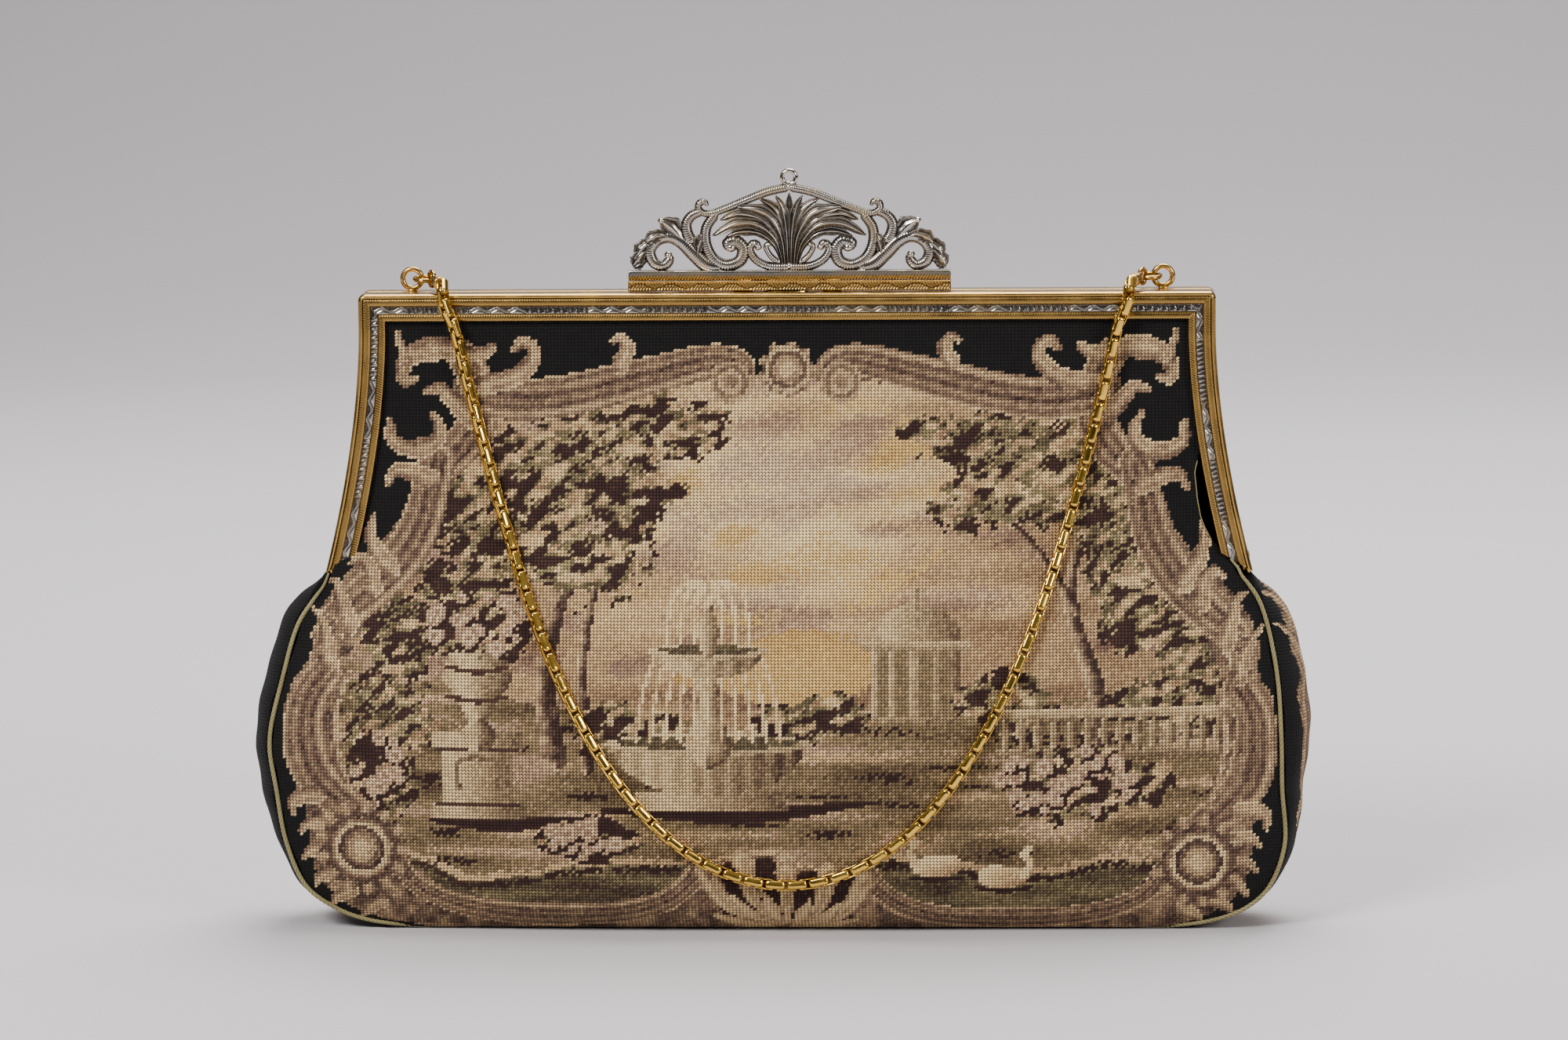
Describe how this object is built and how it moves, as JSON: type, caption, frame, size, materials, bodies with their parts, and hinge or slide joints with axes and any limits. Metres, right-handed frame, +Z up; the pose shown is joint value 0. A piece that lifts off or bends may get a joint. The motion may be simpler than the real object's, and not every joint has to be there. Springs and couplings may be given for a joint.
{
  "type": "petit point evening bag",
  "caption": "Embroidered evening bag with a soft piped pouch on a gilt hinged frame, a lever clasp under a pierced crest and a chain handle that hangs down the front.",
  "frame": {"origin": "the middle of the flat base that the bag stands on, on the frame's parting plane", "axes": "+X to the right seen from the front, +Y to the back, +Z up"},
  "size_m": [0.2204, 0.0489, 0.1596],
  "materials": {
    "petit_point": "fine wool and silk tent stitch on canvas, matt",
    "piping_cord": "twisted silk cord, soft sheen",
    "gilt": "worn gilding, reeded bands",
    "bright_gilt": "bright gilding on square links",
    "silver": "cast silver, dark in the hollows"
  },
  "bodies": {
    "bag": {"front_panel": "petit_point", "back_panel": "petit_point", "piping": "piping_cord", "front_frame": "gilt", "back_frame": "gilt", "hinge_rivet_left": "gilt", "hinge_rivet_right": "gilt", "clasp_pin": "gilt", "jump_ring_left": "gilt", "jump_ring_right": "gilt", "chain_end_left": "gilt", "chain_end_right": "gilt", "chain": "bright_gilt"},
    "clasp": {"clasp_lever": "gilt", "crest": "silver"}
  },
  "joints": [
    {"name": "clasp_hinge", "type": "hinge", "parent": "bag", "child": "clasp", "pos_m": [0, 0.0046, 0.13445], "axis": [-1, 0, 0], "range_deg": [0, 80]}
  ]
}
